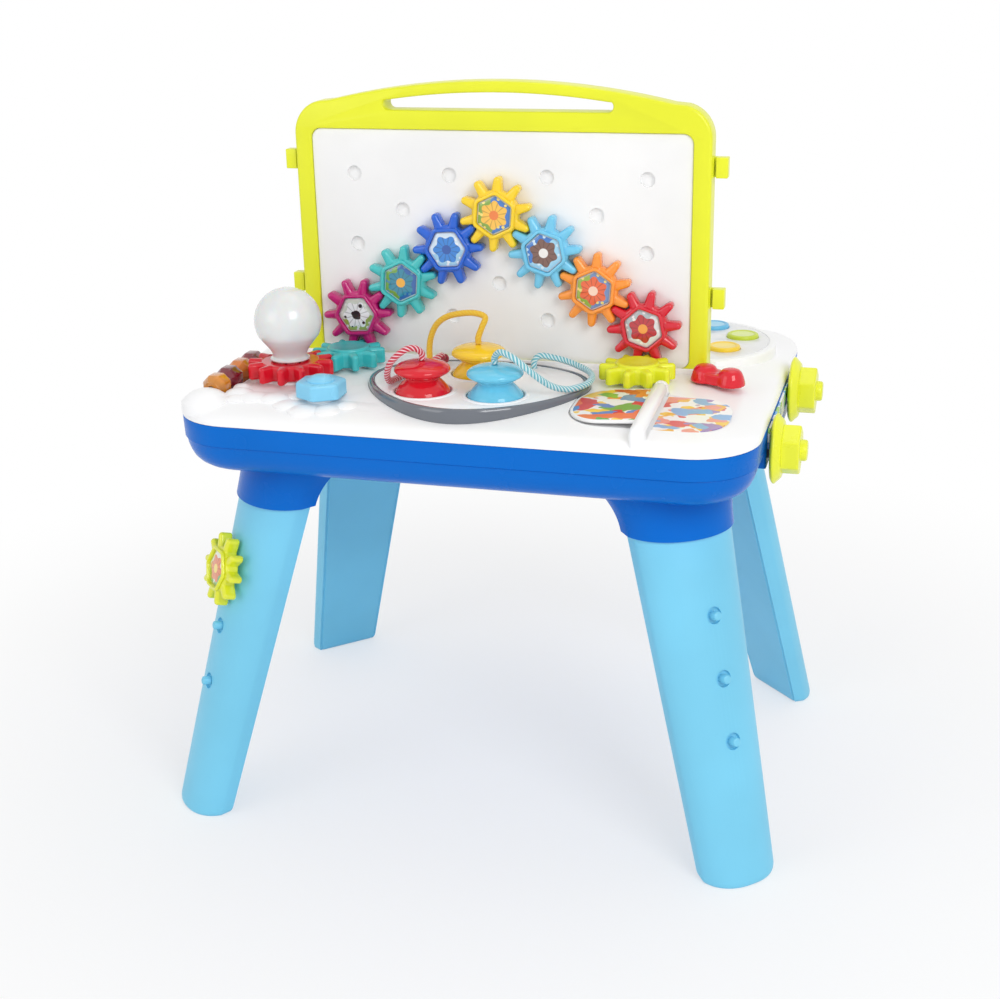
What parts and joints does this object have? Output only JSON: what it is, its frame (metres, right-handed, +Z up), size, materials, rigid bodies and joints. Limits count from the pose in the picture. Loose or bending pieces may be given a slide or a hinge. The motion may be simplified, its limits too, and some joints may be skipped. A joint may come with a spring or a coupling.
{
  "type": "toddler activity table",
  "caption": "Low play table on four splayed legs with a lift-out easel of meshing gears, tethered plugs, a flip page, beads, buttons and side knobs.",
  "frame": {"origin": "on the floor, under the middle of the whole table's box", "axes": "+Z up, +X to the right of the sitting child, +Y away from the child"},
  "size_m": [0.5056, 0.3712, 0.5796],
  "materials": {
    "lime_plastic": "glossy",
    "tray_blue": "glossy",
    "leg_blue": "satin",
    "white_plastic": "satin",
    "slate_plastic": "glossy",
    "red_plastic": "glossy",
    "dark_red_plastic": "glossy",
    "yellow_plastic": "glossy",
    "pale_blue_plastic": "glossy",
    "magenta_plastic": "glossy",
    "teal_plastic": "glossy",
    "blue_plastic": "glossy",
    "orange_plastic": "glossy",
    "green_plastic": "glossy",
    "black_plastic": "matte",
    "clear_lens": "clear plastic",
    "translucent_bulb": "translucent",
    "printed_sheet": "printed",
    "circuit_green": "matte",
    "red_rope": "braided",
    "yellow_rope": "braided",
    "pale_blue_rope": "braided"
  },
  "bodies": {
    "base": {"tray": "tray_blue", "top_cover": "white_plastic", "leg_front_left": "leg_blue", "leg_front_right": "leg_blue", "leg_rear_left": "leg_blue", "leg_rear_right": "leg_blue", "bead_axle": "white_plastic", "page_pin": "white_plastic", "page_print": "printed_sheet", "plate_rim": "slate_plastic", "plate": "white_plastic", "bulb": "translucent_bulb", "bulb_lamp": "white_plastic", "knob_hub_front": "black_plastic", "knob_hub_rear": "black_plastic", "side_panel": "printed_sheet", "battery_door": "tray_blue", "battery_box": "black_plastic", "speaker": "black_plastic", "circuit_board": "circuit_green"},
    "easel": {"easel_frame": "lime_plastic", "board_front": "white_plastic", "board_back": "white_plastic"},
    "gear_lime": {"gear_lime": "lime_plastic", "window_lime": "clear_lens"},
    "table_gear_teal": {"table_gear_teal": "teal_plastic"},
    "table_gear_lime": {"table_gear_lime": "lime_plastic"},
    "bulb_gear": {"bulb_gear": "red_plastic"},
    "hex_nut": {"hex_nut": "pale_blue_plastic"},
    "plug_red": {"plug_red": "red_plastic", "rope_red": "red_rope"},
    "plug_yellow": {"plug_yellow": "yellow_plastic", "rope_yellow": "yellow_rope"},
    "plug_blue": {"plug_blue": "pale_blue_plastic", "rope_blue": "pale_blue_rope"},
    "page_leaf": {"page_leaf": "white_plastic"},
    "mode_switch": {"mode_switch": "red_plastic"},
    "knob_front": {"knob_front": "lime_plastic"},
    "knob_rear": {"knob_rear": "lime_plastic"},
    "gear_magenta": {"gear_magenta": "magenta_plastic", "window_magenta": "clear_lens"},
    "gear_teal": {"gear_teal": "teal_plastic", "window_teal": "clear_lens"},
    "gear_blue": {"gear_blue": "blue_plastic", "window_blue": "clear_lens"},
    "gear_yellow": {"gear_yellow": "yellow_plastic", "window_yellow": "clear_lens"},
    "gear_light_blue": {"gear_light_blue": "pale_blue_plastic", "window_light_blue": "clear_lens"},
    "gear_orange": {"gear_orange": "orange_plastic", "window_orange": "clear_lens"},
    "gear_red": {"gear_red": "red_plastic", "window_red": "clear_lens"},
    "button_blue": {"button_blue": "pale_blue_plastic"},
    "button_green": {"button_green": "green_plastic"},
    "button_yellow": {"button_yellow": "yellow_plastic"},
    "bead_orange_front": {"bead_orange_front": "orange_plastic"},
    "bead_maroon": {"bead_maroon": "dark_red_plastic"},
    "bead_orange_rear": {"bead_orange_rear": "orange_plastic"},
    "bead_dark_red": {"bead_dark_red": "dark_red_plastic"}
  },
  "joints": [
    {"name": "easel_lift", "type": "slide", "parent": "base", "child": "easel", "axis": [0, 0, 1], "range_m": [0, 0.06]},
    {"name": "bulb_gear_spin", "type": "hinge", "parent": "base", "child": "bulb_gear", "pos_m": [-0.1549, -0.0889, 0.3583], "axis": [0, 0, 1], "continuous": true},
    {"name": "table_gear_teal_spin", "type": "hinge", "parent": "base", "child": "table_gear_teal", "pos_m": [-0.12177, -0.0465, 0.3583], "axis": [0, 0, 1], "continuous": true},
    {"name": "table_gear_lime_spin", "type": "hinge", "parent": "base", "child": "table_gear_lime", "pos_m": [0.11703, -0.0465, 0.3583], "axis": [0, 0, 1], "continuous": true},
    {"name": "gear_magenta_spin", "type": "hinge", "parent": "easel", "child": "gear_magenta", "pos_m": [-0.12177, -0.0134, 0.39311], "axis": [0, 1, 0], "continuous": true},
    {"name": "gear_teal_spin", "type": "hinge", "parent": "easel", "child": "gear_teal", "pos_m": [-0.08197, -0.0134, 0.42156], "axis": [0, 1, 0], "continuous": true},
    {"name": "gear_blue_spin", "type": "hinge", "parent": "easel", "child": "gear_blue", "pos_m": [-0.04217, -0.0134, 0.45], "axis": [0, 1, 0], "continuous": true},
    {"name": "gear_yellow_spin", "type": "hinge", "parent": "easel", "child": "gear_yellow", "pos_m": [-0.00237, -0.0134, 0.47845], "axis": [0, 1, 0], "continuous": true},
    {"name": "gear_light_blue_spin", "type": "hinge", "parent": "easel", "child": "gear_light_blue", "pos_m": [0.03743, -0.0134, 0.45], "axis": [0, 1, 0], "continuous": true},
    {"name": "gear_orange_spin", "type": "hinge", "parent": "easel", "child": "gear_orange", "pos_m": [0.07723, -0.0134, 0.42156], "axis": [0, 1, 0], "continuous": true},
    {"name": "gear_red_spin", "type": "hinge", "parent": "easel", "child": "gear_red", "pos_m": [0.11703, -0.0134, 0.39311], "axis": [0, 1, 0], "continuous": true},
    {"name": "gear_lime_spin", "type": "hinge", "parent": "base", "child": "gear_lime", "pos_m": [-0.20039, -0.1359, 0.20472], "axis": [-0.6798, -0.6798, 0.2753], "continuous": true},
    {"name": "hex_nut_spin", "type": "hinge", "parent": "base", "child": "hex_nut", "pos_m": [-0.11237, -0.131, 0.35597], "axis": [0, 0, 1], "continuous": true},
    {"name": "bead_orange_front_spin", "type": "hinge", "parent": "base", "child": "bead_orange_front", "pos_m": [-0.20237, -0.126, 0.3565], "axis": [0, 1, 0], "continuous": true},
    {"name": "bead_maroon_spin", "type": "hinge", "parent": "base", "child": "bead_maroon", "pos_m": [-0.20237, -0.1034, 0.3565], "axis": [0, 1, 0], "continuous": true},
    {"name": "bead_orange_rear_spin", "type": "hinge", "parent": "base", "child": "bead_orange_rear", "pos_m": [-0.20237, -0.0808, 0.3565], "axis": [0, 1, 0], "continuous": true},
    {"name": "bead_dark_red_spin", "type": "hinge", "parent": "base", "child": "bead_dark_red", "pos_m": [-0.20237, -0.0582, 0.3565], "axis": [0, 1, 0], "continuous": true},
    {"name": "knob_front_spin", "type": "hinge", "parent": "base", "child": "knob_front", "pos_m": [0.22683, -0.078, 0.32], "axis": [1, 0, 0], "continuous": true},
    {"name": "knob_rear_spin", "type": "hinge", "parent": "base", "child": "knob_rear", "pos_m": [0.22683, 0.043, 0.331], "axis": [1, 0, 0], "continuous": true},
    {"name": "plug_red_lift", "type": "slide", "parent": "base", "child": "plug_red", "axis": [0, 0, 1], "range_m": [0, 0.02]},
    {"name": "plug_yellow_lift", "type": "slide", "parent": "base", "child": "plug_yellow", "axis": [0, 0, 1], "range_m": [0, 0.02]},
    {"name": "plug_blue_lift", "type": "slide", "parent": "base", "child": "plug_blue", "axis": [0, 0, 1], "range_m": [0, 0.02]},
    {"name": "page_turn", "type": "hinge", "parent": "base", "child": "page_leaf", "pos_m": [0.14063, -0.15033, 0.35629], "axis": [0, 0.9984, 0.0558], "range_deg": [0, 170]},
    {"name": "mode_switch_turn", "type": "hinge", "parent": "base", "child": "mode_switch", "pos_m": [0.17863, -0.038, 0.3566], "axis": [0, 0, 1], "range_deg": [0, 40]},
    {"name": "button_blue_press", "type": "slide", "parent": "base", "child": "button_blue", "axis": [0, 0, -1], "range_m": [0, 0.003], "stiffness_N_per_m": 400},
    {"name": "button_green_press", "type": "slide", "parent": "base", "child": "button_green", "axis": [0, 0, -1], "range_m": [0, 0.003], "stiffness_N_per_m": 400},
    {"name": "button_yellow_press", "type": "slide", "parent": "base", "child": "button_yellow", "axis": [0, 0, -1], "range_m": [0, 0.003], "stiffness_N_per_m": 400}
  ],
  "couplings": [
    {"joint": "table_gear_teal_spin", "follows": "bulb_gear_spin", "ratio": -1.2},
    {"joint": "table_gear_lime_spin", "follows": "bulb_gear_spin", "ratio": -1.2},
    {"joint": "gear_magenta_spin", "follows": "bulb_gear_spin", "ratio": -1.2},
    {"joint": "gear_teal_spin", "follows": "bulb_gear_spin", "ratio": 1.2},
    {"joint": "gear_blue_spin", "follows": "bulb_gear_spin", "ratio": -1.2},
    {"joint": "gear_yellow_spin", "follows": "bulb_gear_spin", "ratio": 1.2},
    {"joint": "gear_light_blue_spin", "follows": "bulb_gear_spin", "ratio": -1.2},
    {"joint": "gear_orange_spin", "follows": "bulb_gear_spin", "ratio": 1.2},
    {"joint": "gear_red_spin", "follows": "bulb_gear_spin", "ratio": -1.2}
  ]
}
